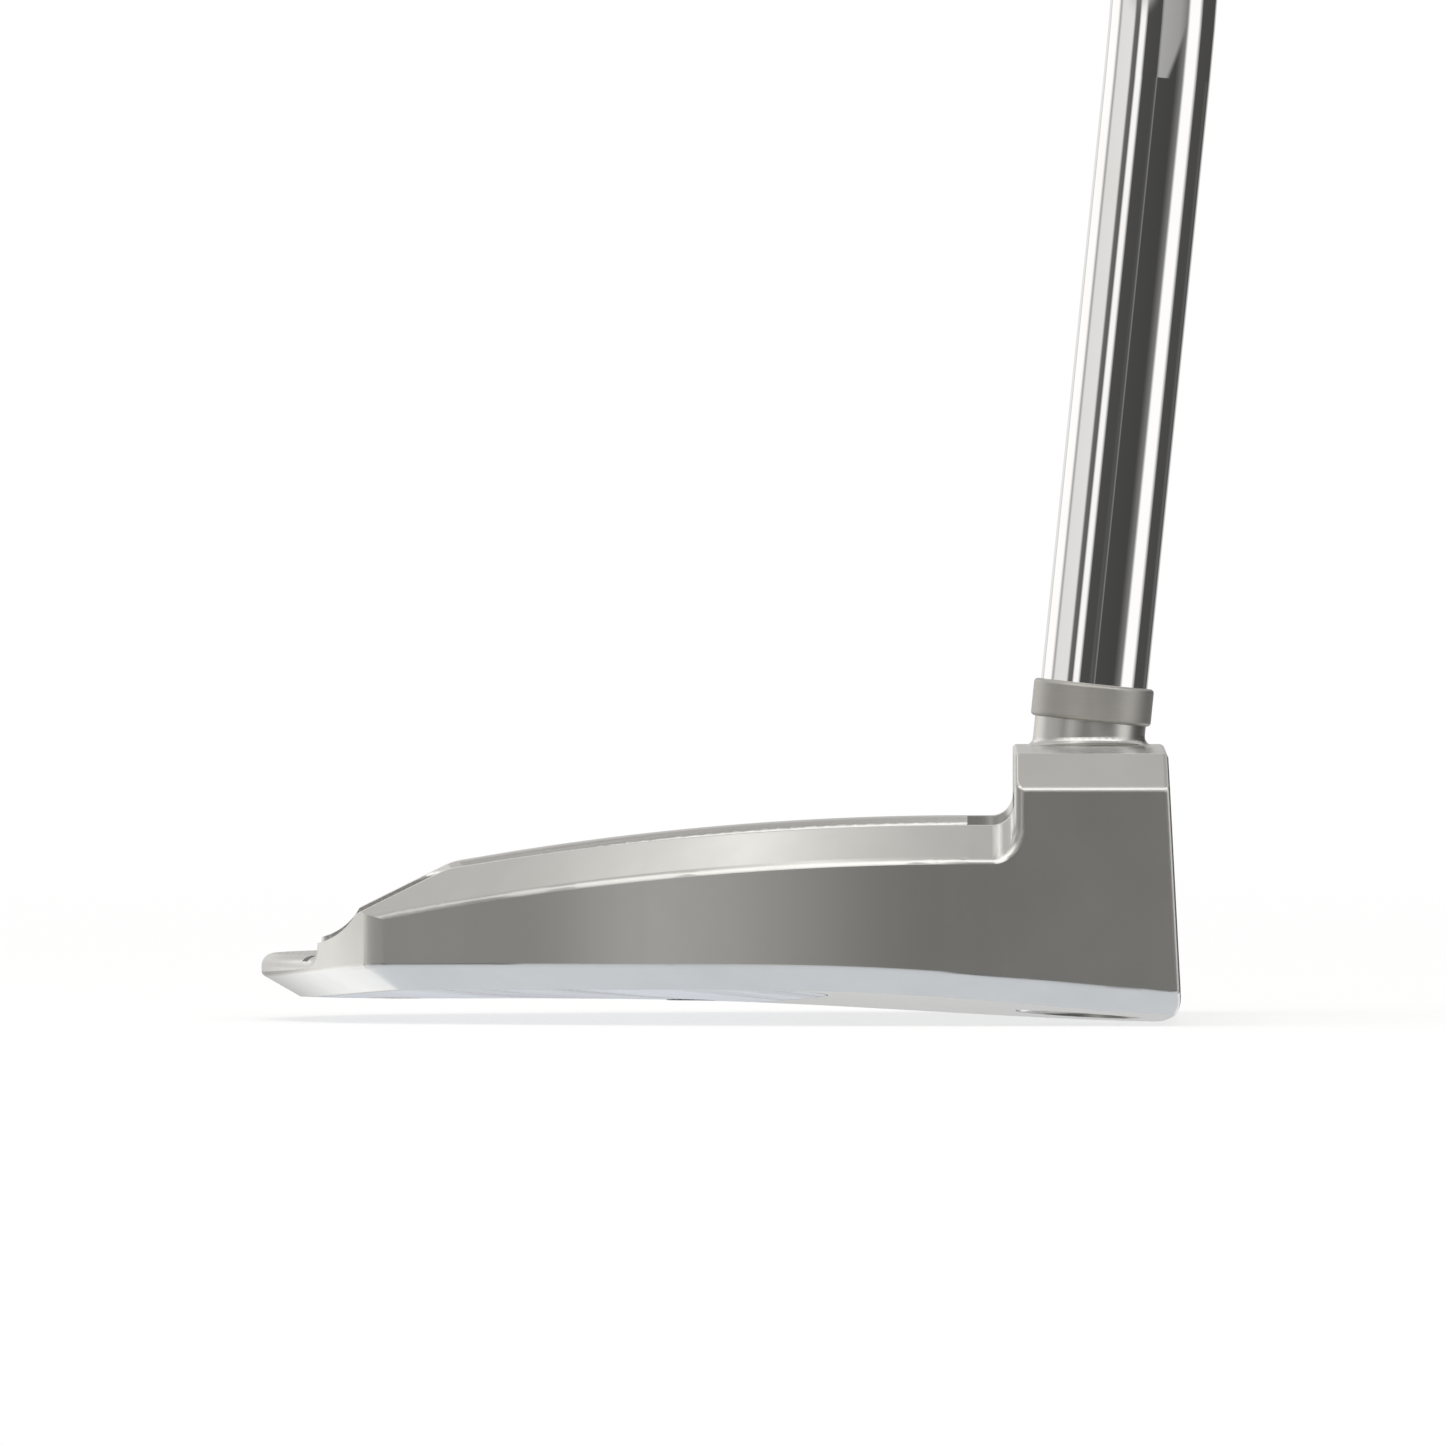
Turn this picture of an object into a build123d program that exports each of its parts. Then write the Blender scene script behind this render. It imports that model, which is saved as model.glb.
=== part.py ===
from build123d import *
import math
import os

# Right-handed mallet-bodied putter with a blade-like front block and a double-bend shaft.
# Millimetres. +X is the way the face looks, the toe is at -Y, the heel at +Y, up is +Z.
# The origin is on the flat that the sole stands on, midway from toe to heel.

# Head outline, seen from above
head_width = 100.0  # toe to heel
straight_sides_end = -12.0  # x where the sides start to curve in
side_turn = 30.0  # degrees that each side turns inwards
side_radius = 82.0
nose_x = -73.9  # rearmost point of the tail
tail_radius = 59.0  # of the tail's rim, seen from above
rear_corner_radius = 5.0

# Front block and face
block_top = 23.7
block_back = -8.0
face_at_sole = 6.63  # x where the face plane would meet the ground
face_loft = 3.0  # degrees
leading_radius = 2.4
step_radius = 1.9  # concave, between the block's back and the body

# Low body behind the block: a bumper along each side, with a floor between them
body_top = 17.42
crown_radius = 264.0  # the bumpers' tops fall away to the rear on this radius
shoulder_drop = 2.93
shoulder_width = 3.2
bumper_width = 11.0
cavity_corner_radius = 3.0
floor_top = 5.8
foot_radius = 1.0  # where the bumpers and the block rise from the floor
ball_radius = 21.335
channel_clearance = 1.3  # between a ball's side and the tail end of each bumper
slope_start = -57.4
slope_angle = 26.4
slope_end = -65.5
slope_knee_radius = 5.0
tail_scoop_radius = 5.0
tail_scoop_angle = 62.0
wall_edge_radius = 0.9  # along the walls' upper edges
wall_foot_radius = 0.5  # between the walls and the sole's bevel
block_edge_radius = 0.35  # on the block's back edges
crest_radius = 0.3
inner_edge_radius = 1.0  # on the bumpers' upper edges beside the floor
face_edge_radius = 0.5
rim_radius = 1.1

# Pocket milled into the block's back
pocket_width = 60.0
pocket_depth = 6.0
pocket_bottom = 7.6
pocket_height = 12.2
pocket_corner_radius = 3.0

# Sole: x, height above the ground and camber radius from toe to heel, front to rear
sole_stations = [
    (12.0, -0.08, 950.0),
    (2.0, -0.08, 880.0),
    (-9.0, 0.38, 640.0),
    (-22.0, 1.12, 590.0),
    (-48.0, 1.87, 575.0),
    (-80.0, 2.80, 565.0),
]
sole_chamfer_height = 1.75
sole_chamfer_width = 3.4

# Sole plate and its countersunk screws
plate_front = -31.0
plate_front_radius = 117.0
plate_inset = 4.2  # from the outline
plate_thickness = 2.0
plate_gap = 0.08
plate_edge_radius = 4.0
screw_places = [(-36.0, 14.0), (-62.0, 9.0)]  # repeated on the other side
screw_radius = 1.25
screw_length = 2.6
screw_head_radius = 2.4
screw_head_height = 1.2
screw_head_recess = 0.15
screw_socket_radius = 0.85
screw_socket_depth = 0.8

# Sole weights
weight_x = -2.4
weight_y = 33.0
weight_radius = 5.5
weight_depth = 6.0
weight_recess = 0.25
weight_gap = 0.05
weight_edge = 0.3
spanner_hole_radius = 0.8
spanner_hole_depth = 1.6
spanner_hole_spacing = 6.4

# Sight lines
line_width = 1.25
line_depth = 0.5
line_fill = 0.42
line_front_gap = 3.4  # from the block's back

# Neck and its collar
neck_x = -1.4  # where its axis leaves the block's top
neck_y = 30.0
neck_lean = 5.9  # degrees towards the face
neck_radius = 4.9
neck_height = 2.2
neck_base_radius = 0.8
post_length = 27.0
collar_radius = 5.3
collar_height = 3.3
collar_ledge = 1.6  # from its foot to the ledge that the shaft stands on
collar_edge_radius = 0.35

# Shaft
tip_radius = 4.7
shaft_wall = 0.62
bore_gap = 0.05  # between the neck's post and the shaft's bore, and round collar fits
lower_leg = 66.0  # from the block's top to the first bend's corner
middle_leg = 46.0
bend_radius = 75.0
lie = 70.0  # degrees
club_length = 889.0  # along the shaft, from the ground to the butt
parallel_tip = 150.0  # of the upper leg, below the first step
step_count = 10
step_ramp = 1.2
butt_radius = 7.365
butt_parallel = 285.0

# Grip
grip_length = 266.0
tape_thickness = 0.15
tape_length = 258.0
grip_end_wall = 4.0
vent_radius = 1.0
cap_edge_radius = 2.6
# distance up from the grip's mouth, radius of its round side, that circle's offset towards the
# heel, distance of the flat on the other side; the last two from the shaft's axis
grip_sections = [
    (0.0, 10.4, 0.4, 8.9),
    (55.0, 11.2, 0.5, 9.2),
    (120.0, 12.0, 0.8, 9.5),
    (grip_length - 91.0, 12.4, 1.2, 9.5),
    (grip_length - 46.0, 13.4, 2.7, 9.5),
    (grip_length - 18.0, 14.4, 4.0, 9.4),
    (grip_length, 14.0, 3.9, 9.2),
]
grip_flat_corner = 2.5

half_width = head_width / 2
channel_half = ball_radius + channel_clearance
post_radius = tip_radius - shaft_wall - bore_gap
face_slope = math.tan(math.radians(face_loft))
# places safely clear of the head, for the shapes that cut it
below = -8.0
above = 40.0
ahead = 14.0
last = -110.0
outside = 70.0


def face_x(z):
    return face_at_sole - z * face_slope


def crown_z(x):
    """Height of the bumpers' crest line at x."""
    run = min(0.0, x - straight_sides_end)
    return body_top - (crown_radius - math.sqrt(crown_radius**2 - run**2))


def side_points():
    """Where the toe side starts to curve, its middle, and where it runs straight again."""
    turn = math.radians(side_turn)
    middle = turn / 2
    start = (straight_sides_end, -half_width)
    points = [start]
    for angle in (middle, turn):
        x = start[0] - side_radius * math.sin(angle)
        y = start[1] + side_radius * (1 - math.cos(angle))
        points.append((x, y))
    return points


def rim_centre_x():
    return nose_x + tail_radius


def rim_x(y):
    return rim_centre_x() - math.sqrt(tail_radius**2 - y**2)


def tail_corner():
    """Where the straight part of the toe side meets the rim's circle."""
    x, y = side_points()[2]
    slope = math.tan(math.radians(side_turn))
    low, high = x - 40.0, x
    for _ in range(60):
        middle = (low + high) / 2
        side_y = y + (x - middle) * slope
        if middle < rim_x(side_y):
            low = middle
        else:
            high = middle
    return (high, y + (x - high) * slope)


def flipped(point):
    return (point[0], -point[1])


def outline_face():
    """The head seen from above, run on in front so that the face plane trims it."""
    start, middle, end = side_points()
    corner = tail_corner()
    edges = [
        Line((ahead, -half_width), start),
        ThreePointArc(start, middle, end),
        Line(end, corner),
        ThreePointArc(corner, (nose_x, 0), flipped(corner)),
        Line(flipped(corner), flipped(end)),
        ThreePointArc(flipped(end), flipped(middle), flipped(start)),
        Line(flipped(start), (ahead, half_width)),
        Line((ahead, half_width), (ahead, -half_width)),
    ]
    face = make_face(edges)
    corners = [v for v in face.vertices() if abs(v.X - corner[0]) < 0.01]
    return fillet(corners, rear_corner_radius)


def rear_outline_face():
    """The body from above, from where the sides start to curve, with its sides run on to the rear."""
    start, middle, end = side_points()
    slope = math.tan(math.radians(side_turn))
    far = (last, end[1] + (end[0] - last) * slope)
    edges = [
        ThreePointArc(start, middle, end),
        Line(end, far),
        Line(far, flipped(far)),
        Line(flipped(far), flipped(end)),
        ThreePointArc(flipped(end), flipped(middle), flipped(start)),
        Line(flipped(start), start),
    ]
    return make_face(edges)


def upright(face_xy, low, high):
    """A prism of a plan outline between two heights."""
    return extrude(Pos(0, 0, low) * face_xy, amount=high - low, dir=(0, 0, 1))


def side_prism(edges, y_from=-outside, y_to=outside):
    """A prism along Y of a closed outline drawn in X and Z."""
    face = Plane.XZ * make_face(edges)
    return extrude(Pos(0, y_from, 0) * face, amount=y_to - y_from, dir=(0, 1, 0))


def front_profile(drop=0.0):
    """The block, its step down and the start of the body, seen from the toe, drawn in X and Z."""
    foot = (block_back - step_radius, body_top - drop)
    rise = (block_back, body_top + step_radius - drop)
    bend = (
        block_back - step_radius * (1 - math.sqrt(0.5)),
        body_top + step_radius * (1 - math.sqrt(0.5)) - drop,
    )
    return [
        Line((straight_sides_end, below), (ahead, below)),
        Line((ahead, below), (ahead, block_top - drop)),
        Line((ahead, block_top - drop), (block_back, block_top - drop)),
        Line((block_back, block_top - drop), rise),
        ThreePointArc(rise, bend, foot),
        Line(foot, (straight_sides_end, body_top - drop)),
        Line((straight_sides_end, body_top - drop), (straight_sides_end, below)),
    ]


def front_part():
    """Block and step: straight from toe to heel, with a sloping shoulder at each end."""
    crest_y = half_width - shoulder_width
    middle = side_prism(front_profile(), -crest_y, crest_y)
    profile = Plane.XZ * make_face(front_profile())
    shoulder = extrude(
        Pos(0, -crest_y, 0) * profile,
        amount=math.hypot(shoulder_width, shoulder_drop),
        dir=(0, -shoulder_width, -shoulder_drop),
    )
    deep = side_prism(front_profile(shoulder_drop), -half_width, half_width)
    return middle + shoulder + mirror(shoulder, Plane.XZ) + deep


def rear_part():
    """Body behind the block, with its crowned top, its shoulder along both sides and its inner edges."""
    top = [
        Line((straight_sides_end, below), (straight_sides_end, body_top)),
        ThreePointArc(
            (straight_sides_end, body_top),
            ((straight_sides_end + last) / 2, crown_z((straight_sides_end + last) / 2)),
            (last, crown_z(last)),
        ),
        Line((last, crown_z(last)), (last, below)),
        Line((last, below), (straight_sides_end, below)),
    ]
    blank = upright(rear_outline_face(), below, above) & side_prism(top)
    crown = max(blank.faces(), key=lambda f: f.center().Z)
    sides = [e for e in crown.edges() if not near((e @ 0).X, (e @ 1).X)]
    body = chamfer(sides, length=shoulder_width, length2=shoulder_drop, reference=crown)
    space = cavity()
    body -= space
    inner = [
        e for e in body.edges()
        if near((e @ 0).Z, crown_z((e @ 0).X)) and near((e @ 1).Z, crown_z((e @ 1).X))
        and near(space.distance_to(e @ 0.5), 0)
    ]
    return fillet(inner, inner_edge_radius)


def leading_reach():
    """From the face plane's foot back to where the leading edge's rounding starts."""
    return leading_radius * math.tan(math.radians(90 + face_loft) / 2)


def face_trim():
    """What lies in front of the face plane and its rounded leading edge."""
    reach = leading_reach()
    on_ground = (face_at_sole - reach, 0.0)
    up_face = (
        face_at_sole - reach * math.sin(math.radians(face_loft)),
        reach * math.cos(math.radians(face_loft)),
    )
    centre = (on_ground[0], leading_radius)
    middle = math.radians(-45 + face_loft / 2)
    on_arc = (
        centre[0] + leading_radius * math.cos(middle),
        centre[1] + leading_radius * math.sin(middle),
    )
    edges = [
        Line((face_x(above), above), up_face),
        ThreePointArc(up_face, on_arc, on_ground),
        Line(on_ground, (on_ground[0], 2 * below)),
        Line((on_ground[0], 2 * below), (2 * ahead, 2 * below)),
        Line((2 * ahead, 2 * below), (2 * ahead, above)),
        Line((2 * ahead, above), (face_x(above), above)),
    ]
    return side_prism(edges)


def tail_trim():
    """What lies above the bumpers' rear slope and the scoop that runs down to their tail ends."""
    slope = math.radians(slope_angle)
    drop_in = math.radians(tail_scoop_angle)
    knee = (slope_start, crown_z(slope_start))
    crown_slope = math.asin((straight_sides_end - slope_start) / crown_radius)
    reach = slope_knee_radius * math.tan((slope - crown_slope) / 2)
    before = (knee[0] + reach * math.cos(crown_slope), knee[1] + reach * math.sin(crown_slope))
    after = (knee[0] - reach * math.cos(slope), knee[1] - reach * math.sin(slope))
    centre = (
        before[0] + slope_knee_radius * math.sin(crown_slope),
        before[1] - slope_knee_radius * math.cos(crown_slope),
    )
    half = (slope + crown_slope) / 2
    on_knee = (
        centre[0] - slope_knee_radius * math.sin(half),
        centre[1] + slope_knee_radius * math.cos(half),
    )
    end = (slope_end, knee[1] - (slope_start - slope_end) * math.tan(slope))
    scoop_centre = (
        end[0] - tail_scoop_radius * math.sin(drop_in),
        end[1] + tail_scoop_radius * math.cos(drop_in),
    )
    on_scoop = (
        scoop_centre[0] + tail_scoop_radius * math.sin(drop_in / 2),
        scoop_centre[1] - tail_scoop_radius * math.cos(drop_in / 2),
    )
    low = (scoop_centre[0], scoop_centre[1] - tail_scoop_radius)
    edges = [
        Line((before[0], above), before),
        ThreePointArc(before, on_knee, after),
        Line(after, end),
        ThreePointArc(end, on_scoop, low),
        Line(low, (last, low[1])),
        Line((last, low[1]), (last, above)),
        Line((last, above), (before[0], above)),
    ]
    return side_prism(edges)


def cavity_face():
    """The space between the bumpers, seen from above."""
    inner = offset(outline_face(), amount=-bumper_width)
    span = block_back - last
    middle = (block_back + last) / 2
    behind = Pos(middle, 0) * Rectangle(span, 2 * outside)
    channel = Pos(middle, 0) * Rectangle(span, 2 * channel_half)
    return (inner & behind) + channel


def cavity():
    """The space above the floor, with rounded corners where the bumpers meet the block."""
    space = upright(cavity_face(), floor_top, above)
    upright_edges = space.edges().filter_by(Axis.Z)
    corners = [e for e in upright_edges if near(e.center().X, block_back)]
    return fillet(corners, cavity_corner_radius)


def sole_tool():
    """What lies under the sole, which is cambered from toe to heel and rises to the rear."""
    sections = []
    for x, height, radius in sole_stations:
        rise = radius - math.sqrt(radius**2 - outside**2)
        left, right = (-outside, height + rise), (outside, height + rise)
        edges = [
            ThreePointArc(left, (0, height), right),
            Line(right, (outside, 2 * below)),
            Line((outside, 2 * below), (-outside, 2 * below)),
            Line((-outside, 2 * below), left),
        ]
        plane = Plane(origin=(x, 0, 0), x_dir=(0, 1, 0), z_dir=(1, 0, 0))
        sections.append(plane * make_face(edges))
    return loft(sections)


def near(value, target, slack=0.01):
    return abs(value - target) < slack


def edges_where(shape, test):
    """Edges of a shape for which test(middle, start, end) holds."""
    return [e for e in shape.edges() if test(e.center(), e @ 0, e @ 1)]


def long_blank():
    """Block and body with their face and rounded upper edges, before the tail is shaped."""
    blank = front_part() + rear_part() - face_trim()
    wall_top = block_top - shoulder_drop
    crest_y = half_width - shoulder_width

    def on_wall(point):
        return near(abs(point.Y), half_width)

    def wall_edge(middle, start, end):
        along_body = near(start.Z + shoulder_drop, crown_z(start.X), 0.02)
        along_body = along_body and near(end.Z + shoulder_drop, crown_z(end.X), 0.02)
        body_side = along_body and abs(start.X - end.X) > 1 and not near(abs(start.Y - end.Y), 0)
        step = on_wall(middle) and straight_sides_end < middle.X < block_back
        step = step and middle.Z > crown_z(middle.X) - shoulder_drop - step_radius
        return body_side or step or (on_wall(middle) and near(middle.Z, wall_top))

    def block_back_edge(middle, start, end):
        at_back = near(middle.X, block_back) and near(start.X, end.X)
        return at_back and (on_wall(middle) or middle.Z > wall_top)

    def crest(middle, start, end):
        return near(abs(middle.Y), crest_y) and near(middle.Z, block_top)

    blank = fillet(edges_where(blank, wall_edge), wall_edge_radius)
    blank = fillet(edges_where(blank, block_back_edge), block_edge_radius)
    return fillet(edges_where(blank, crest), crest_radius)


def bevelled(head):
    """Adds the bevel round the sole, all but its leading edge, and rounds the foot of the walls."""
    sole = max((f for f in head.faces() if f.center().Z < floor_top), key=lambda f: f.area)
    lead = face_at_sole - leading_reach()
    edge = [e for e in sole.edges() if e.center().X < lead and not near(e.center().X, lead, 0.1)]
    head = chamfer(edge, length=sole_chamfer_width, length2=sole_chamfer_height, reference=sole)
    feet = []
    for face in head.faces():
        box = face.bounding_box()
        if near(face.normal_at(face.center()).Z, 0) and box.min.Z < floor_top < box.max.Z:
            feet.append(min(face.edges(), key=lambda e: e.center().Z))
    return fillet(feet, wall_foot_radius)


def shaped_head():
    """The head's outer shape: outline, cambered sole with its bevel, tail and the space between bumpers."""
    head = long_blank() & upright(outline_face(), 2 * below, above)
    head = bevelled(head - sole_tool())
    face = max((f for f in head.faces() if f.center().X > 0), key=lambda f: f.center().X)
    upper = [e for e in face.edges() if e.center().Z > 2 * leading_radius]
    head = fillet(upper, face_edge_radius)
    head -= cavity()
    head -= tail_trim()

    def foot(middle, start, end):
        level = near(start.Z, floor_top) and near(end.Z, floor_top)
        return level and middle.X > rim_x(middle.Y) + foot_radius

    def rim(middle, start, end):
        level = near(start.Z, floor_top) and near(end.Z, floor_top)
        across = abs(start.Y - end.Y) > channel_half
        return level and across and near(middle.X, rim_x(middle.Y), 0.05)

    head = fillet(edges_where(head, foot), foot_radius)
    head = fillet(edges_where(head, rim), rim_radius)
    return head - upright(Rectangle(4 * outside, 4 * outside), 2 * below, 0)


def sole_height(x, y=0.0):
    """Height of the sole over the ground."""
    for (x1, h1, r1), (x2, h2, r2) in zip(sole_stations, sole_stations[1:]):
        if x2 <= x <= x1:
            share = (x1 - x) / (x1 - x2)
            radius = r1 + (r2 - r1) * share
            return h1 + (h2 - h1) * share + radius - math.sqrt(radius**2 - y**2)
    raise ValueError("x is off the sole")


def back_pocket():
    plane = Plane(origin=(block_back - 1, 0, 0), x_dir=(0, 1, 0), z_dir=(1, 0, 0))
    middle = pocket_bottom + pocket_height / 2
    outline = Pos(0, middle) * RectangleRounded(pocket_width, pocket_height, pocket_corner_radius)
    return extrude(plane * outline, amount=pocket_depth + 1)


def neck_plane(along=0.0):
    """Square to the neck's axis, at a distance up it from the block's top."""
    lean = math.radians(neck_lean)
    up = (math.sin(lean), 0, math.cos(lean))
    origin = (neck_x + along * up[0], neck_y, block_top + along * up[2])
    return Plane(origin=origin, x_dir=(math.cos(lean), 0, -math.sin(lean)), z_dir=up)


def rod(radius, low, high):
    """A round bar along Z between two heights."""
    return Pos(0, 0, (low + high) / 2) * Cylinder(radius, high - low)


def with_neck(head):
    """Adds the short neck, blended into the block's top, and the post that the shaft slides over."""
    root = -3.0
    head += neck_plane() * rod(neck_radius, root, neck_height)
    foot = [
        e for e in head.edges()
        if near(e.center().Z, block_top) and near(e.center().Y, neck_y, 0.5) and e.length < 40
    ]
    head = fillet(foot, neck_base_radius)
    return head + neck_plane() * rod(post_radius, 0, post_length)


def plate_space(gap=0.0):
    """The sole plate's place: behind a curved front edge, inside the bevel, a steady depth up."""
    inner = offset(outline_face(), amount=-plate_inset - gap)
    front = Pos(plate_front + plate_front_radius, 0) * Circle(plate_front_radius + gap)
    face = inner - front
    corners = [v for v in face.vertices() if v.X > plate_front + 1]
    face = fillet(corners, plate_edge_radius)
    roof = Pos(0, 0, plate_thickness) * sole_tool()
    return upright(face, below, above) & roof


def screw_spots():
    return [(x, side * y) for x, y in screw_places for side in (-1, 1)]


def countersunk(x, y, gap=0.0):
    """A countersunk shape pointing up from the sole, flush with it, grown by a gap all round."""
    start = sole_height(x, y) + screw_head_recess
    head = Cone(screw_head_radius + gap, screw_radius + gap, screw_head_height)
    shank = rod(screw_radius + gap, 0, screw_length + gap)
    return Pos(x, y, start) * (Pos(0, 0, screw_head_height / 2) * head + shank)


def screw_clearance(x, y):
    start = sole_height(x, y) + screw_head_recess
    return countersunk(x, y, bore_gap) + Pos(x, y) * rod(screw_head_radius + bore_gap, -1, start)


def screw(x, y):
    start = sole_height(x, y) + screw_head_recess
    socket = extrude(RegularPolygon(screw_socket_radius, 6), amount=screw_socket_depth)
    return countersunk(x, y) - Pos(x, y, start) * socket


def weight_plane(side):
    """On the sole at a weight's centre, square to the camber there."""
    y = side * weight_y
    radius = sole_stations[1][2]
    tilt = math.asin(y / radius)
    up = (0, -math.sin(tilt), math.cos(tilt))
    return Plane(origin=(weight_x, y, sole_height(weight_x, y)), x_dir=(1, 0, 0), z_dir=up)


def weight_bore(side):
    return weight_plane(side) * rod(weight_radius, -2, weight_depth)


def sole_weight(side):
    disc = rod(weight_radius - weight_gap, weight_recess, weight_depth)
    rim = [e for e in disc.edges() if near(e.center().Z, weight_recess)]
    disc = chamfer(rim, weight_edge)
    for end in (-1, 1):
        hole = rod(spanner_hole_radius, weight_recess, weight_recess + spanner_hole_depth)
        disc -= Pos(end * spanner_hole_spacing / 2, 0, 0) * hole
    return weight_plane(side) * disc


def sight_line_box(side, low):
    y = side * (ball_radius - line_width / 2)
    front = block_back - line_front_gap
    length = front - nose_x + 2
    return Pos(front - length / 2, y, (low + above) / 2) * Box(length, line_width, above - low)


def sight_line(side, head):
    """Enamel that fills a groove nearly flush, cut to the tail's rim."""
    groove = sight_line_box(side, floor_top - line_depth)
    full = sight_line_box(side, floor_top - line_depth + line_fill)
    return (groove - full) & head


def collar():
    """Ring between the neck and the shaft, with a ledge inside that the shaft's end stands on."""
    ring = rod(collar_radius, 0, collar_height)
    ring = fillet(ring.edges().filter_by(GeomType.CIRCLE), collar_edge_radius)
    ring -= rod(post_radius + bore_gap, -1, collar_height + 1)
    ring -= rod(tip_radius + bore_gap, collar_ledge, collar_height + 1)
    return neck_plane(neck_height) * ring


def unit(lean, tilt):
    """A direction that leans towards the face and tilts towards the heel, in degrees."""
    return Vector(math.tan(math.radians(lean)), math.tan(math.radians(tilt)), 1).normalized()


def shaft_route():
    """Seat, two bends' corners and butt end, with the upper leg's direction."""
    seat = neck_plane(neck_height + collar_ledge).origin
    low_bend = neck_plane(lower_leg).origin
    top = unit(0, 90 - lie)
    middle = (neck_plane().z_dir + top).normalized()
    high_bend = low_bend + middle * middle_leg
    below_block = block_top / math.cos(math.radians(neck_lean))
    upper_leg = club_length - below_block - lower_leg - middle_leg
    return seat, low_bend, high_bend, high_bend + top * upper_leg, top, upper_leg


def upper_plane(along):
    """Square to the upper leg, at a distance up it from its bend's corner; X stays X."""
    _, _, high_bend, _, top, _ = shaft_route()
    return Plane(origin=high_bend + top * along, x_dir=(1, 0, 0), z_dir=top)


def bent_tube(radius, end_along):
    """A round bar along the shaft's bent part, up to a distance along the upper leg."""
    seat, low_bend, high_bend, _, top, _ = shaft_route()
    route = FilletPolyline(seat, low_bend, high_bend, high_bend + top * end_along, radius=bend_radius)
    start = neck_plane(neck_height + collar_ledge)
    return sweep(start * Circle(radius), path=route)


def stepped_bar(shrink):
    """The upper leg's steps and its parallel butt, as a turned bar, smaller by shrink all round."""
    upper_leg = shaft_route()[5]
    pitch = (upper_leg - butt_parallel - parallel_tip) / step_count
    rise = (butt_radius - tip_radius) / step_count
    points = [(0, parallel_tip), (tip_radius - shrink, parallel_tip)]
    for step in range(step_count):
        foot = parallel_tip + (step + 0.5) * pitch
        points.append((tip_radius + step * rise - shrink, foot))
        points.append((tip_radius + (step + 1) * rise - shrink, foot + step_ramp))
    points += [(butt_radius - shrink, upper_leg), (0, upper_leg)]
    turned = revolve(Plane.XZ * make_face(Polyline(*points, close=True)), Axis.Z)
    return upper_plane(0) * turned


def shaft():
    outside_form = bent_tube(tip_radius, parallel_tip) + stepped_bar(0)
    inside_form = bent_tube(tip_radius - shaft_wall, parallel_tip) + stepped_bar(shaft_wall)
    return outside_form - inside_form


def grip_start():
    """Distance along the upper leg to the grip's mouth."""
    return shaft_route()[5] + grip_end_wall - grip_length


def grip_tape():
    end = shaft_route()[5]
    tube = rod(butt_radius + tape_thickness, end - tape_length, end)
    return upper_plane(0) * (tube - rod(butt_radius, end - tape_length - 1, end + 1))


def grip():
    """Pistol grip: round at the back, flat in front for the thumbs, open below and vented on top."""
    sections = []
    for along, radius, shift, flat in grip_sections:
        back = Pos(0, shift) * Circle(radius)
        keep = Pos(0, -flat + 50) * Rectangle(100, 100)
        face = back & keep
        corners = [v for v in face.vertices() if near(v.Y, -flat)]
        sections.append(Pos(0, 0, along) * fillet(corners, grip_flat_corner))
    body = loft(sections)
    top = [e for e in body.edges() if near(e.center().Z, grip_length)]
    body = fillet(top, cap_edge_radius)
    body -= rod(butt_radius + tape_thickness, -1, grip_length - grip_end_wall)
    body -= rod(vent_radius, 0, grip_length + 1)
    return upper_plane(grip_start()) * body


if __name__ == "__main__":
    os.makedirs("parts", exist_ok=True)
    solid_head = shaped_head() - back_pocket()
    pieces = {}
    head = with_neck(solid_head) - plate_space()
    plate = solid_head & plate_space(plate_gap)
    for x, y in screw_spots():
        head -= screw_clearance(x, y)
        plate -= screw_clearance(x, y)
    for side, end in ((-1, "toe"), (1, "heel")):
        head -= weight_bore(side)
        pieces[f"sole_weight_{end}"] = sole_weight(side)
        pieces[f"sight_line_{end}"] = sight_line(side, solid_head)
        head -= sight_line_box(side, floor_top - line_depth)
    pieces["head_body"] = head
    pieces["sole_plate"] = plate
    pieces["sole_plate_screws"] = Compound([screw(x, y) for x, y in screw_spots()])
    pieces["neck_collar"] = collar()
    pieces["shaft"] = shaft()
    pieces["grip_tape"] = grip_tape()
    pieces["grip"] = grip()
    for name, piece in pieces.items():
        print(name, round(piece.volume), len(piece.solids()))
        export_step(piece, f"parts/{name}.step")
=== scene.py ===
"""Dresses a mallet putter: milled head, sole plate, neck collar, bent steel shaft and rubber grip."""

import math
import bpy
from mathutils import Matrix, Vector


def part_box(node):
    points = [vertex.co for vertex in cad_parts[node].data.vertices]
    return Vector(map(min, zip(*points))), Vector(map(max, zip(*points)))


bl_info = {
    "name": "Mallet Putter",
    "version": (1, 0, 0),
    "blender": (4, 5, 0),
    "location": "3D View > Sidebar > Putter",
    "description": "Finishes for a milled mallet putter, with a soft studio to show it in",
    "category": "Object",
}

import bpy
from bpy.props import FloatProperty, FloatVectorProperty, PointerProperty
from mathutils import Vector

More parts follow.
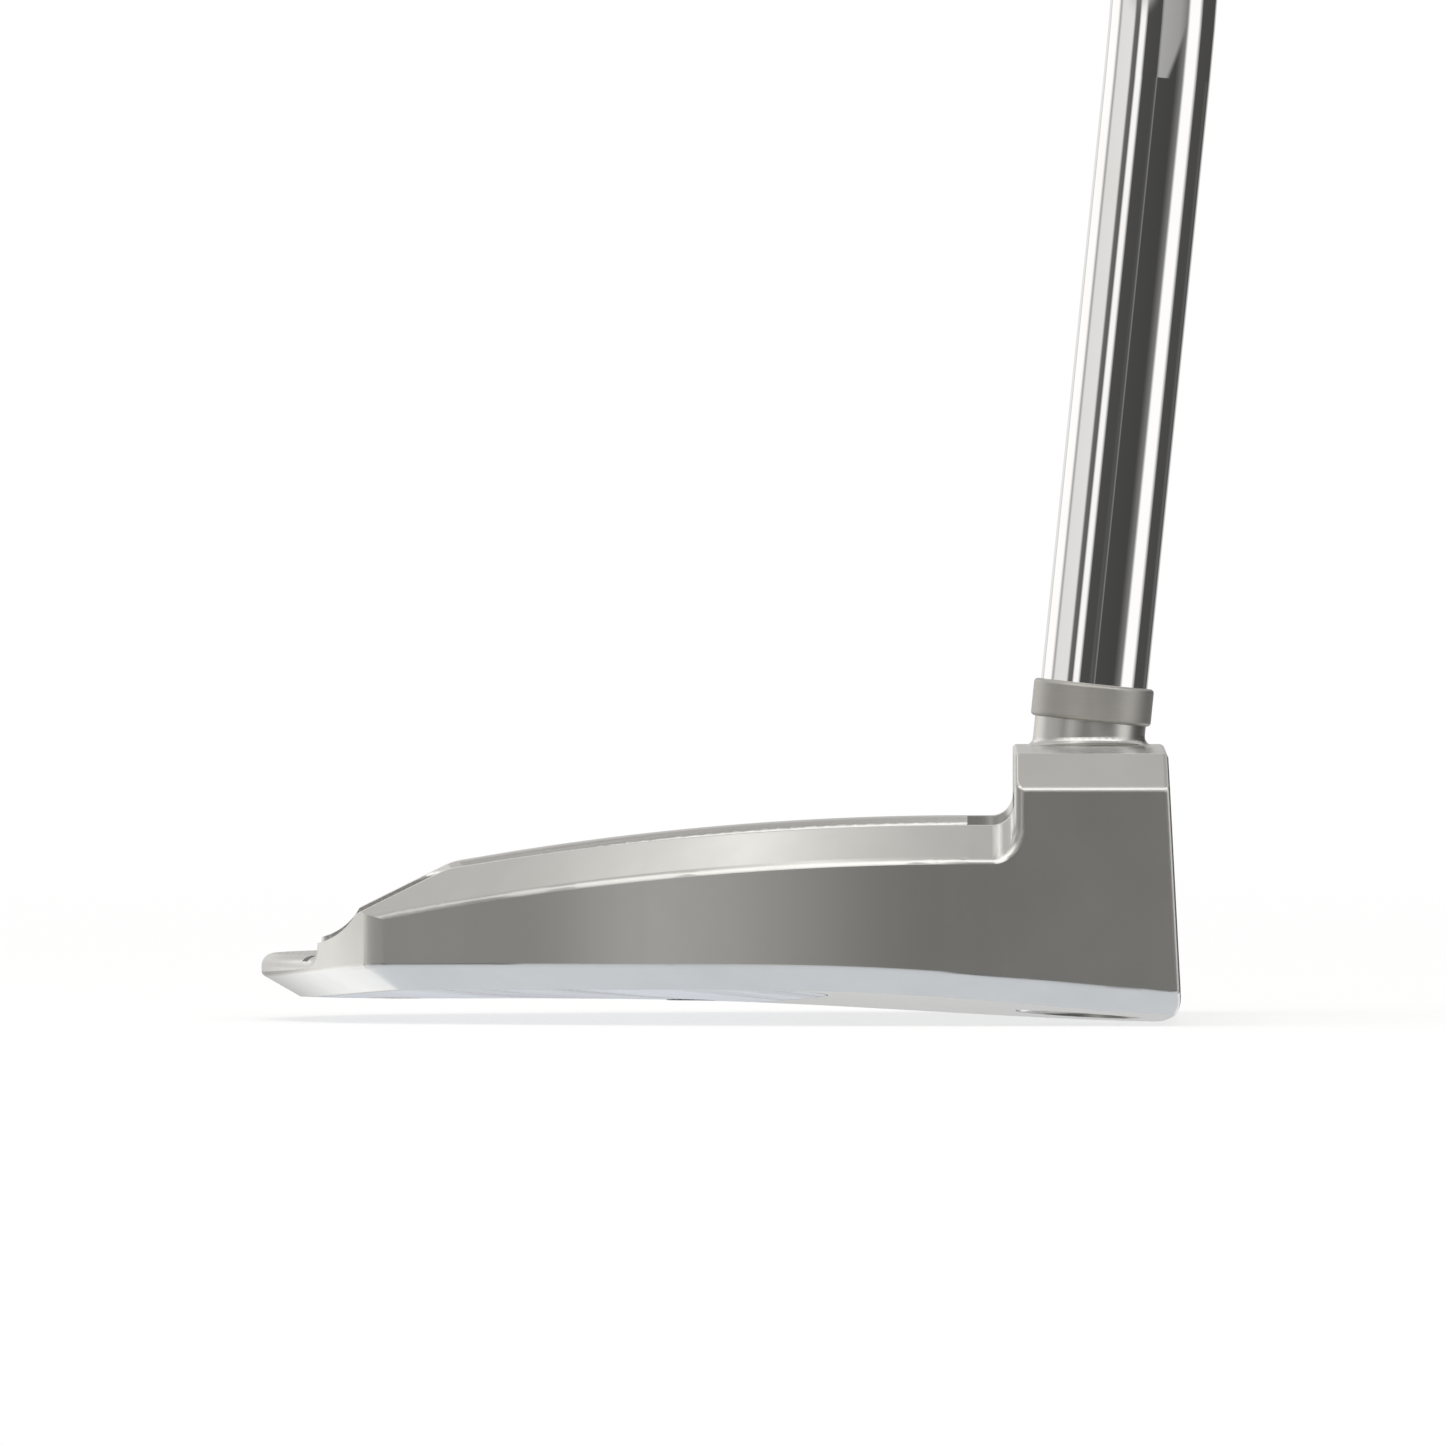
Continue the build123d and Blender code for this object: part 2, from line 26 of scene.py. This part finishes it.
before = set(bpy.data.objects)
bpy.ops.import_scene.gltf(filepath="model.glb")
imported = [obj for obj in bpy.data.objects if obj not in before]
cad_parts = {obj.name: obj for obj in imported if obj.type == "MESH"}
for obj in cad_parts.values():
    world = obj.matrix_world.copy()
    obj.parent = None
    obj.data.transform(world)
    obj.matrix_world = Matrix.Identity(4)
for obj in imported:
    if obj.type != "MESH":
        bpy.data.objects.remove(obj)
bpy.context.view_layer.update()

TURN = 2 * math.pi
FLOOR_LEVEL = 0.008  # in the head, just over the open floor between its bumpers
PLAIN_END = 0.028  # length without pattern at each end of the grip
PATTERN_TWIST = 0.009  # how far the pattern climbs in one radian round the grip
STAGE_REACH = 30.0  # from the middle of the stage's floor to its sides
SHADOW_NEAR, SHADOW_FAR = 0.25, 1.4  # where the floor starts to turn white, and where it is white
VIEW_WIDTH = 0.12664  # that the camera takes in at its distance
VIEW_YAW, VIEW_PITCH = math.radians(0.137), math.radians(0.494)
VIEW_MIDDLE = Vector((-0.0335, 0.0, 0.0260))
LAMP_PLACE = Vector((-0.4, -0.6, 3.0))
WHITE = (1.0, 1.0, 1.0, 1.0)
BRIGHT_CARD = (1.75, 1.75, 1.75, 1.0)  # low behind the object, for the tail's bevel
GREY_CARD = (0.36, 0.36, 0.36, 1.0)  # level behind the object, for the sole
COOL_GROUND = (0.93, 0.97, 1.04, 1.0)  # straight below, for the side bevels


# ---------------------------------------------------------------- node helpers


def colour(name, value, description):
    return FloatVectorProperty(
        name=name, description=description, default=value, subtype="COLOR", size=3, min=0.0, max=1.0
    )


def length(name, value, description):
    return FloatProperty(
        name=name, description=description, default=value, unit="LENGTH", subtype="DISTANCE", precision=5
    )


def factor(name, value, description):
    return FloatProperty(
        name=name, description=description, default=value, subtype="FACTOR", min=0.0, max=1.0
    )


class Graph:
    """Short ways to add and join nodes in one tree."""

    def __init__(self, tree):
        self.tree = tree

    def add(self, kind, **settings):
        node = self.tree.nodes.new(kind)
        for key, value in settings.items():
            setattr(node, key, value)
        return node

    def feed(self, socket, value):
        """Joins a socket to another, or sets its value."""
        if isinstance(value, bpy.types.NodeSocket):
            self.tree.links.new(value, socket)
        elif value is not None:
            socket.default_value = value
        return socket

    def math(self, operation, a, b=None):
        node = self.add("ShaderNodeMath", operation=operation)
        for socket, value in zip(node.inputs, (a, b)):
            self.feed(socket, value)
        return node.outputs[0]

    def vector(self, operation, a, b=None, scale=None):
        node = self.add("ShaderNodeVectorMath", operation=operation)
        self.feed(node.inputs[0], a)
        self.feed(node.inputs[1], b)
        self.feed(node.inputs[3], scale)
        return node.outputs[1 if operation in {"DOT_PRODUCT", "LENGTH"} else 0]

    def mix(self, fac, a, b):
        """Mixes two colours."""
        node = self.add("ShaderNodeMix", data_type="RGBA")
        self.feed(node.inputs[0], fac)
        self.feed(node.inputs[6], a)
        self.feed(node.inputs[7], b)
        return node.outputs[2]

    def grey(self, value):
        """A colour of equal parts."""
        node = self.add("ShaderNodeCombineColor")
        for socket in node.inputs:
            self.feed(socket, value)
        return node.outputs[0]

    def range(self, value, low, high, to_low=0.0, to_high=1.0):
        """Eases from one number to another while a value goes from low to high."""
        node = self.add("ShaderNodeMapRange", interpolation_type="SMOOTHSTEP")
        for socket, number in zip(node.inputs, (value, low, high, to_low, to_high)):
            self.feed(socket, number)
        return node.outputs[0]

    def noise(self, where, scale, detail=2.0, roughness=0.5):
        node = self.add("ShaderNodeTexNoise")
        self.feed(node.inputs["Vector"], where)
        self.feed(node.inputs["Scale"], scale)
        self.feed(node.inputs["Detail"], detail)
        self.feed(node.inputs["Roughness"], roughness)
        return node.outputs["Fac"]

    def split(self, vector):
        node = self.add("ShaderNodeSeparateXYZ")
        self.feed(node.inputs[0], vector)
        return node.outputs

    def bump(self, height, distance, strength=1.0):
        node = self.add("ShaderNodeBump")
        self.feed(node.inputs["Height"], height)
        node.inputs["Distance"].default_value = distance
        node.inputs["Strength"].default_value = strength
        return node.outputs[0]

    def group(self, tree, **values):
        node = self.add("ShaderNodeGroup")
        node.node_tree = tree
        for key, value in values.items():
            self.feed(node.inputs[key.replace("_", " ")], value)
        return node.outputs


def new_group(name, inputs, outputs):
    """A shader node group with its sockets, its inputs and its output node."""
    tree = bpy.data.node_groups.new(name, "ShaderNodeTree")
    for label, kind, default in inputs:
        socket = tree.interface.new_socket(label, in_out="INPUT", socket_type=kind)
        socket.default_value = default
    for label, kind in outputs:
        tree.interface.new_socket(label, in_out="OUTPUT", socket_type=kind)
    graph = Graph(tree)
    entry = graph.add("NodeGroupInput")
    exit_node = graph.add("NodeGroupOutput")
    return graph, entry.outputs, exit_node.inputs


def streaks_group():
    """Fine parallel tool marks: a height and a slow patchiness, stretched along one direction."""
    name = "Milling streaks"
    if name in bpy.data.node_groups:
        return bpy.data.node_groups[name]
    g, given, out = new_group(
        name,
        [
            ("Along", "NodeSocketVector", (1.0, 0.0, 0.0)),
            ("Stretch", "NodeSocketFloat", 40.0),
            ("Pitch", "NodeSocketFloat", 9000.0),
        ],
        [("Height", "NodeSocketFloat"), ("Patches", "NodeSocketFloat")],
    )
    place = g.add("ShaderNodeTexCoord").outputs["Object"]
    run = g.vector("DOT_PRODUCT", place, given["Along"])
    squeeze = g.math("SUBTRACT", g.math("DIVIDE", 1.0, given["Stretch"]), 1.0)
    shift = g.vector("SCALE", given["Along"], scale=g.math("MULTIPLY", run, squeeze))
    stretched = g.vector("ADD", place, shift)
    fine = g.noise(stretched, given["Pitch"], detail=3.0, roughness=0.6)
    broad = g.noise(stretched, g.math("MULTIPLY", given["Pitch"], 0.08), detail=2.0)
    g.feed(out["Height"], fine)
    g.feed(out["Patches"], broad)
    return g.tree


def wear_group():
    """Handling marks: faint cloudy smears."""
    name = "Handling marks"
    if name in bpy.data.node_groups:
        return bpy.data.node_groups[name]
    g, given, out = new_group(
        name,
        [("Size", "NodeSocketFloat", 60.0)],
        [("Smears", "NodeSocketFloat")],
    )
    place = g.add("ShaderNodeTexCoord").outputs["Object"]
    smears = g.noise(place, given["Size"], detail=4.0, roughness=0.62)
    g.feed(out["Smears"], g.range(smears, 0.42, 0.72))
    return g.tree


def emptied(owner):
    """The graph of a material or world, cleared of its first nodes."""
    owner.use_nodes = True
    owner.node_tree.nodes.clear()
    return Graph(owner.node_tree)


def new_material(name):
    """A material with its graph and its metal or plastic shader."""
    material = bpy.data.materials.new(name)
    graph = emptied(material)
    shader = graph.add("ShaderNodeBsdfPrincipled")
    output = graph.add("ShaderNodeOutputMaterial")
    graph.feed(output.inputs["Surface"], shader.outputs[0])
    return material, graph, shader


def dress(node, material):
    """Puts one material on every slot of a carried-over solid."""
    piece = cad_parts[node]
    if not piece.material_slots:
        piece.data.materials.append(material)
    for slot in piece.material_slots:
        slot.material = material
    return piece


# ---------------------------------------------------------------- settings


class HeadSettings(bpy.types.PropertyGroup):
    steel: colour("Steel", (0.63, 0.625, 0.60), "Colour of the milled steel")
    satin: factor("Satin roughness", 0.32, "Roughness of the blasted side walls")
    polish: factor("Polished roughness", 0.19, "Roughness of the polished tops and edges")
    face_pitch: length("Face milling pitch", 0.0009, "Distance between the cutter's arcs on the face")
    floor_pitch: length("Floor milling pitch", 0.0006, "Distance between the cutter's rows on the floor")
    cutter_radius: length("Cutter radius", 0.030, "Radius of the arcs that the face cutter leaves")
    cutter_middle: length("Cutter middle", 0.0, "Where the arcs' middle lies between toe and heel")


class SoleSettings(bpy.types.PropertyGroup):
    plate: colour("Plate", (0.70, 0.73, 0.78), "Colour of the aluminium sole plate")
    fittings: colour("Fittings", (0.52, 0.52, 0.51), "Colour of the screws and weights")
    enamel: colour("Enamel", (0.012, 0.012, 0.013), "Colour of the sight lines")


class ShaftSettings(bpy.types.PropertyGroup):
    chrome: colour("Chrome", (0.90, 0.90, 0.90), "Colour of the plated shaft")
    collar: colour("Collar", (0.52, 0.505, 0.48), "Colour of the collar")


class GripSettings(bpy.types.PropertyGroup):
    rubber: colour("Rubber", (0.022, 0.022, 0.024), "Colour of the grip")
    tape: colour("Tape", (0.56, 0.52, 0.42), "Colour of the tape under the grip")
    pitch: length("Pattern pitch", 0.0052, "Distance between the rows of pits along the grip")
    lie: FloatProperty(
        name="Lie",
        description="Angle of the grip from the ground",
        default=math.radians(70.0),
        subtype="ANGLE",
    )


class StudioSettings(bpy.types.PropertyGroup):
    floor: colour("Floor", (0.86, 0.86, 0.86), "Colour of the floor")
    distance: length("Camera distance", 6.5, "From the camera to the head")


# ---------------------------------------------------------------- pieces


class PUTTER_OT_head(bpy.types.Operator):
    """Finish the head: satin walls, polished shoulders and milled sole"""

    bl_idname = "putter.head"
    bl_label = "Head"

    def execute(self, context):
        given = context.scene.putter_head
        material, g, shader = new_material("head_satin_steel")
        upright = g.group(streaks_group(), Along=(0.0, 0.0, 1.0), Stretch=30.0, Pitch=5200.0)
        across = g.group(streaks_group(), Along=(0.0, 1.0, 0.0), Stretch=60.0, Pitch=2600.0)
        wear = g.group(wear_group(), Size=70.0)
        normal = g.split(g.add("ShaderNodeNewGeometry").outputs["True Normal"])
        place = g.split(g.add("ShaderNodeTexCoord").outputs["Object"])
        steel = (*given.steel, 1.0)
        darker = (*(0.93 * c for c in given.steel), 1.0)
        worn = (*(0.88 * c for c in given.steel), 1.0)
        tint = g.mix(upright["Patches"], darker, steel)
        g.feed(shader.inputs["Base Color"], g.mix(g.math("MULTIPLY", wear["Smears"], 0.35), tint, worn))
        upward = g.range(normal[2], 0.35, 0.65)
        flat_up = g.range(normal[2], 0.985, 0.998)
        low_down = g.range(place[2], FLOOR_LEVEL - 0.0005, FLOOR_LEVEL + 0.0005, 1.0, 0.0)
        floor = g.math("MULTIPLY", flat_up, low_down)
        face = g.range(normal[0], 0.97, 0.99)
        satin = g.math("ADD", given.satin, g.math("MULTIPLY", wear["Smears"], 0.03))
        shine = g.math("ADD", satin, g.math("MULTIPLY", upward, given.polish - given.satin))
        rough = g.math("ADD", shine, g.math("MULTIPLY", g.math("MAXIMUM", floor, face), 0.12))
        g.feed(shader.inputs["Roughness"], rough)
        shader.inputs["Metallic"].default_value = 1.0
        # cutter arcs on the face, lines from toe to heel on the floor
        swing = g.math("POWER", g.math("SUBTRACT", place[1], given.cutter_middle), 2.0)
        drop = g.math("ADD", place[2], g.math("DIVIDE", swing, 2 * given.cutter_radius))
        arcs = g.math("SINE", g.math("MULTIPLY", drop, TURN / given.face_pitch))
        rows = g.math("SINE", g.math("MULTIPLY", place[0], TURN / given.floor_pitch))
        cuts = g.math("ADD", g.math("MULTIPLY", arcs, face), g.math("MULTIPLY", rows, floor))
        fine = g.math("MULTIPLY", upright["Height"], 0.2)
        lines = g.math("MULTIPLY", across["Height"], g.math("MULTIPLY", floor, 0.8))
        height = g.math("ADD", g.math("MULTIPLY", cuts, 0.8), g.math("ADD", fine, lines))
        g.feed(shader.inputs["Normal"], g.bump(height, 0.00002, 0.5))
        dress("head_body", material)
        return {"FINISHED"}


class PUTTER_OT_sole(bpy.types.Operator):
    """Finish the sole plate, its screws, the weights and the sight lines"""

    bl_idname = "putter.sole"
    bl_label = "Sole and sight lines"

    def execute(self, context):
        given = context.scene.putter_sole
        material, g, shader = new_material("plate_milled_aluminium")
        marks = g.group(streaks_group(), Along=(0.5, 0.866, 0.0), Stretch=60.0, Pitch=3000.0)
        plate = (*given.plate, 1.0)
        darker = (*(0.86 * c for c in given.plate), 1.0)
        g.feed(shader.inputs["Base Color"], g.mix(marks["Height"], darker, plate))
        g.feed(shader.inputs["Roughness"], g.range(marks["Patches"], 0.3, 0.7, 0.26, 0.36))
        shader.inputs["Metallic"].default_value = 1.0
        g.feed(shader.inputs["Normal"], g.bump(marks["Height"], 0.00001, 0.6))
        dress("sole_plate", material)

        material, g, shader = new_material("turned_steel_fittings")
        wear = g.group(wear_group(), Size=300.0)
        fittings = (*given.fittings, 1.0)
        darker = (*(0.85 * c for c in given.fittings), 1.0)
        g.feed(shader.inputs["Base Color"], g.mix(wear["Smears"], fittings, darker))
        g.feed(shader.inputs["Roughness"], g.range(wear["Smears"], 0.0, 1.0, 0.24, 0.34))
        shader.inputs["Metallic"].default_value = 1.0
        for node in ("sole_plate_screws", "sole_weight_toe", "sole_weight_heel"):
            dress(node, material)

        material, g, shader = new_material("sight_line_enamel")
        wear = g.group(wear_group(), Size=500.0)
        enamel = (*given.enamel, 1.0)
        paler = (*(2.0 * c for c in given.enamel), 1.0)
        g.feed(shader.inputs["Base Color"], g.mix(wear["Smears"], enamel, paler))
        g.feed(shader.inputs["Roughness"], g.range(wear["Smears"], 0.0, 1.0, 0.3, 0.42))
        for node in ("sight_line_toe", "sight_line_heel"):
            dress(node, material)
        return {"FINISHED"}


class PUTTER_OT_shaft(bpy.types.Operator):
    """Finish the chromed shaft and its collar"""

    bl_idname = "putter.shaft"
    bl_label = "Shaft and collar"

    def execute(self, context):
        given = context.scene.putter_shaft
        material, g, shader = new_material("shaft_chrome_plate")
        wear = g.group(wear_group(), Size=45.0)
        chrome = (*given.chrome, 1.0)
        warmer = (0.98 * given.chrome[0], 0.965 * given.chrome[1], 0.945 * given.chrome[2], 1.0)
        g.feed(shader.inputs["Base Color"], g.mix(wear["Smears"], chrome, warmer))
        g.feed(shader.inputs["Roughness"], g.range(wear["Smears"], 0.0, 1.0, 0.02, 0.035))
        shader.inputs["Metallic"].default_value = 1.0
        dress("shaft", material)

        material, g, shader = new_material("collar_satin_metal")
        marks = g.group(streaks_group(), Along=(0.0, 0.0, 1.0), Stretch=0.05, Pitch=4000.0)
        collar = (*given.collar, 1.0)
        darker = (*(0.9 * c for c in given.collar), 1.0)
        g.feed(shader.inputs["Base Color"], g.mix(marks["Patches"], darker, collar))
        shader.inputs["Roughness"].default_value = 0.5
        shader.inputs["Metallic"].default_value = 1.0
        g.feed(shader.inputs["Normal"], g.bump(marks["Height"], 0.000006, 0.5))
        dress("neck_collar", material)
        return {"FINISHED"}


class PUTTER_OT_grip(bpy.types.Operator):
    """Finish the rubber grip and the tape under it"""

    bl_idname = "putter.grip"
    bl_label = "Grip and tape"

    def execute(self, context):
        given = context.scene.putter_grip
        material, g, shader = new_material("grip_rubber")
        wear = g.group(wear_group(), Size=35.0)
        rubber = (*given.rubber, 1.0)
        paler = (*(1.5 * c for c in given.rubber), 1.0)
        g.feed(shader.inputs["Base Color"], g.mix(wear["Smears"], rubber, paler))
        g.feed(shader.inputs["Roughness"], g.range(wear["Smears"], 0.0, 1.0, 0.62, 0.75))
        place = g.add("ShaderNodeTexCoord").outputs["Object"]
        low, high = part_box("grip")
        lie = given.lie
        up = Vector((0.0, math.cos(lie), math.sin(lie)))
        across = Vector((0.0, -math.sin(lie), math.cos(lie)))
        middle = (Vector(low) + Vector(high)) / 2
        reach = (high[2] - low[2]) / (2 * math.sin(lie))
        local = g.vector("SUBTRACT", place, middle)
        along = g.vector("DOT_PRODUCT", local, up)
        side = g.vector("DOT_PRODUCT", local, across)
        east = g.split(local)[0]
        around = g.math("ARCTAN2", east, side)
        waves = []
        for climb in (-PATTERN_TWIST, PATTERN_TWIST):
            path = g.math("ADD", along, g.math("MULTIPLY", around, climb))
            waves.append(g.math("SINE", g.math("MULTIPLY", path, TURN / given.pitch)))
        pits = g.range(g.math("MULTIPLY", waves[0], waves[1]), 0.15, 0.75)
        inner_end, outer_end = reach - PLAIN_END - 0.002, reach - PLAIN_END + 0.002
        ends = g.range(g.math("ABSOLUTE", along), inner_end, outer_end, 1.0, 0.0)
        grain = g.noise(place, 2400.0, 2.0)
        height = g.math("SUBTRACT", g.math("MULTIPLY", grain, 0.25), g.math("MULTIPLY", pits, ends))
        g.feed(shader.inputs["Normal"], g.bump(height, 0.0003, 0.8))
        dress("grip", material)

        material, g, shader = new_material("tape_cloth")
        wear = g.group(wear_group(), Size=80.0)
        tape = (*given.tape, 1.0)
        darker = (*(0.8 * c for c in given.tape), 1.0)
        g.feed(shader.inputs["Base Color"], g.mix(wear["Smears"], tape, darker))
        shader.inputs["Roughness"].default_value = 0.9
        dress("grip_tape", material)
        return {"FINISHED"}


class PUTTER_OT_studio(bpy.types.Operator):
    """Make the floor, the lights round the object and the camera"""

    bl_idname = "putter.studio"
    bl_label = "Studio"

    def execute(self, context):
        given = context.scene.putter_studio
        self.make_floor(given)
        self.make_world(context.scene)
        self.make_lamps(context.scene)
        self.make_camera(context.scene, given)
        context.scene.view_settings.view_transform = "Standard"
        return {"FINISHED"}

    def make_floor(self, given):
        half = STAGE_REACH
        mesh = bpy.data.meshes.new("floor")
        corners = [(-half, -half, 0), (half, -half, 0), (half, half, 0), (-half, half, 0)]
        mesh.from_pydata(corners, [], [(0, 1, 2, 3)])
        floor = bpy.data.objects.new("floor", mesh)
        bpy.context.scene.collection.objects.link(floor)
        material = bpy.data.materials.new("floor_pale")
        g = emptied(material)
        plain = g.add("ShaderNodeBsdfDiffuse")
        plain.inputs["Color"].default_value = (*given.floor, 1.0)
        white = g.add("ShaderNodeEmission")
        white.inputs["Strength"].default_value = 1.0
        place = g.add("ShaderNodeTexCoord").outputs["Object"]
        away = g.vector("LENGTH", place)
        rays = g.add("ShaderNodeLightPath").outputs
        faded = g.range(away, SHADOW_NEAR, SHADOW_FAR, 0.72, 1.0)
        to_camera = g.add("ShaderNodeMixShader")
        g.feed(to_camera.inputs[0], g.math("MULTIPLY", faded, rays["Is Camera Ray"]))
        g.feed(to_camera.inputs[1], plain.outputs[0])
        g.feed(to_camera.inputs[2], white.outputs[0])
        clear = g.add("ShaderNodeBsdfTransparent")
        mirrored = g.add("ShaderNodeMixShader")
        g.feed(mirrored.inputs[0], rays["Is Glossy Ray"])
        g.feed(mirrored.inputs[1], to_camera.outputs[0])
        g.feed(mirrored.inputs[2], clear.outputs[0])
        output = g.add("ShaderNodeOutputMaterial")
        g.feed(output.inputs["Surface"], mirrored.outputs[0])
        mesh.materials.append(material)

    def make_world(self, scene):
        """Tall cards round the object, a key light in front and above, plain white to the camera."""
        world = bpy.data.worlds.new("studio")
        scene.world = world
        g = emptied(world)
        ray = g.split(g.add("ShaderNodeTexCoord").outputs["Generated"])
        turn = g.math("ARCTAN2", ray[0], g.math("MULTIPLY", ray[1], -1.0))
        share = g.math("ADD", g.math("DIVIDE", turn, TURN), 0.5)
        # azimuth in degrees, 0 towards the camera and positive towards the face's side; brightness
        cards = self.ramp(g, share, [
            (-180, 0.80), (-152, 0.85), (-148, 0.50), (-143, 1.10), (-112, 1.10), (-104, 0.36),
            (-97, 0.80), (-64, 0.82), (-59, 0.15), (-50, 0.12), (-46, 1.05), (-37, 1.05),
            (-31, 0.075), (40, 0.062), (46, 0.11), (57, 0.22), (63, 1.10), (87, 1.10),
            (97, 0.075), (152, 0.07), (162, 0.6), (180, 0.80),
        ])
        walls = self.ramp(g, share, [
            (-180, 0.60), (-158, 0.80), (-150, 1.45), (-120, 1.45), (-104, 0.55), (-88, 0.18),
            (-60, 0.18), (-54, 0.26), (-42, 0.40), (-30, 0.74), (-23, 0.56), (-13, 0.28),
            (-8, 0.11), (-3, 0.08), (4, 0.42), (40, 0.36), (57, 0.22), (63, 1.10), (87, 1.10),
            (97, 0.075), (155, 0.07), (180, 0.60),
        ])
        band = g.math("MULTIPLY", g.range(ray[2], 0.002, 0.014), g.range(ray[2], 0.16, 0.24, 1.0, 0.0))
        band = g.math("MULTIPLY", band, g.range(ray[0], -0.03, 0.0, 1.0, 0.0))
        low_side = g.math("MULTIPLY", g.range(ray[0], 0.0, 0.03), g.range(ray[2], 0.01, 0.03, 1.0, 0.0))
        around = g.mix(g.math("MAXIMUM", band, low_side), walls, cards)
        key = self.ramp(g, share, [(-90, 0.75), (-60, 1.7), (-40, 2.3), (60, 2.3), (90, 0.75)])
        slide = g.math("ADD", g.math("MULTIPLY", ray[0], 0.5), 0.5)
        # brightness overhead, across from the tail's side to the face's side
        ceiling = self.ramp(g, slide, [
            (-180, 0.62), (-86, 0.74), (-83, 0.88), (-75, 1.05), (-62, 1.16), (-52, 1.60),
            (-43, 1.22), (-34, 1.00), (-25, 0.88), (0, 0.68), (30, 0.58), (180, 0.58),
        ])
        just_below = g.range(ray[2], -0.11, -0.05, 1.0, 0.0)
        low_behind = g.math("MULTIPLY", g.range(ray[1], 0.6, 0.9), just_below)
        around = g.mix(low_behind, around, GREY_CARD)
        lower = g.range(ray[2], 0.36, 0.48)
        upper = g.range(ray[2], 0.66, 0.74)
        above = g.mix(lower, around, g.mix(upper, key, ceiling))
        behind = g.math("MULTIPLY", g.range(ray[1], 0.4, 0.7), g.range(ray[2], -0.36, -0.28, 1.0, 0.0))
        lit = g.mix(behind, above, BRIGHT_CARD)
        below = g.range(ray[2], -0.60, -0.50, 1.0, 0.0)
        full = g.mix(below, lit, COOL_GROUND)
        rays = g.add("ShaderNodeLightPath").outputs
        seen = g.mix(rays["Is Camera Ray"], full, WHITE)
        light = g.add("ShaderNodeBackground")
        g.feed(light.inputs["Color"], seen)
        output = g.add("ShaderNodeOutputWorld")
        g.feed(output.inputs["Surface"], light.outputs[0])

    def ramp(self, g, share, stops):
        """A faintly warm colour ramp over a share of 0 to 1, from stops of -180 to 180 and brightness."""
        node = g.add("ShaderNodeValToRGB")
        elements = node.color_ramp.elements
        while len(elements) < len(stops):
            elements.new(0.5)
        for element, (place, level) in zip(elements, stops):
            element.position = place / 360 + 0.5
        for element, (place, level) in zip(elements, stops):
            element.color = (level, 0.99 * level, 0.975 * level, 1.0)
        g.feed(node.inputs[0], share)
        return node.outputs[0]

    def make_lamps(self, scene):
        lamp = bpy.data.lights.new("overhead", "AREA")
        lamp.shape = "DISK"
        lamp.size = 2.0
        lamp.energy = 30.0
        holder = bpy.data.objects.new("overhead", lamp)
        holder.location = LAMP_PLACE
        holder.rotation_euler = LAMP_PLACE.to_track_quat("Z", "Y").to_euler()
        holder.visible_glossy = False
        scene.collection.objects.link(holder)

    def make_camera(self, scene, given):
        camera = bpy.data.cameras.new("camera")
        camera.sensor_width = 36.0
        camera.lens = camera.sensor_width * given.distance / VIEW_WIDTH
        camera.dof.use_dof = False
        camera.clip_start = 0.1
        camera.clip_end = 100.0
        look = Vector((-math.sin(VIEW_YAW), 1.0, -math.sin(VIEW_PITCH))).normalized()
        holder = bpy.data.objects.new("camera", camera)
        holder.location = VIEW_MIDDLE - look * given.distance
        holder.rotation_euler = look.to_track_quat("-Z", "Y").to_euler()
        scene.collection.objects.link(holder)
        scene.camera = holder


OPERATORS = (PUTTER_OT_head, PUTTER_OT_sole, PUTTER_OT_shaft, PUTTER_OT_grip, PUTTER_OT_studio)
SETTINGS = (
    ("putter_head", HeadSettings),
    ("putter_sole", SoleSettings),
    ("putter_shaft", ShaftSettings),
    ("putter_grip", GripSettings),
    ("putter_studio", StudioSettings),
)


class PUTTER_PT_panel(bpy.types.Panel):
    """Lists the putter's pieces and their settings"""

    bl_label = "Putter"
    bl_space_type = "VIEW_3D"
    bl_region_type = "UI"
    bl_category = "Putter"

    def draw(self, context):
        for (setting, group), operator in zip(SETTINGS, OPERATORS):
            box = self.layout.box()
            box.operator(operator.bl_idname)
            for name in group.__annotations__:
                box.prop(getattr(context.scene, setting), name)


def register():
    for setting, group in SETTINGS:
        bpy.utils.register_class(group)
        setattr(bpy.types.Scene, setting, PointerProperty(type=group))
    for entry in (*OPERATORS, PUTTER_PT_panel):
        bpy.utils.register_class(entry)


def unregister():
    for entry in (PUTTER_PT_panel, *reversed(OPERATORS)):
        bpy.utils.unregister_class(entry)
    for setting, group in reversed(SETTINGS):
        delattr(bpy.types.Scene, setting)
        bpy.utils.unregister_class(group)


def main():
    register()
    bpy.ops.putter.head()
    bpy.ops.putter.sole()
    bpy.ops.putter.shaft()
    bpy.ops.putter.grip()
    bpy.ops.putter.studio()


if __name__ == "__main__":
    main()
